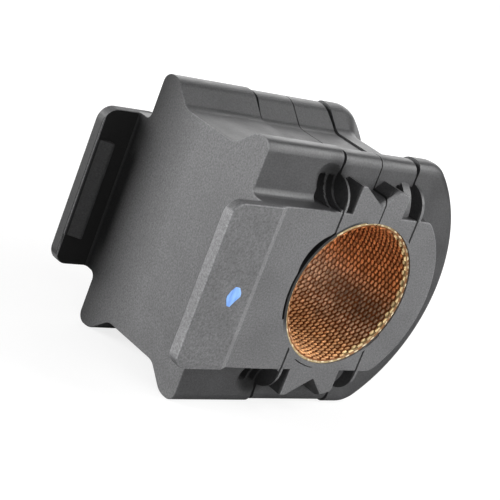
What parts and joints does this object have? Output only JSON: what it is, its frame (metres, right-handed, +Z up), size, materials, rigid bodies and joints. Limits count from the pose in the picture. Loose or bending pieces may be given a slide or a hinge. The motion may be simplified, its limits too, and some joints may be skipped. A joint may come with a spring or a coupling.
{
  "type": "sway bar bushing",
  "caption": "Moulded rubber bushing block with a strap groove, two clip tabs past its base and a woven liner round the bar's bore.",
  "frame": {"origin": "on the bar's axis, half way along the bushing", "axes": "+Y along the bar, +X from the flat base towards the domed side, +Z up as the bushing lies on its flange crests"},
  "size_m": [0.0679, 0.0438, 0.053],
  "materials": {
    "rubber": "satin moulded rubber, fine grain",
    "liner_weave": "plain weave, rust brown with a pale cut edge"
  },
  "bodies": {
    "root": {"rubber_body": "rubber", "fabric_liner": "liner_weave"}
  },
  "joints": []
}
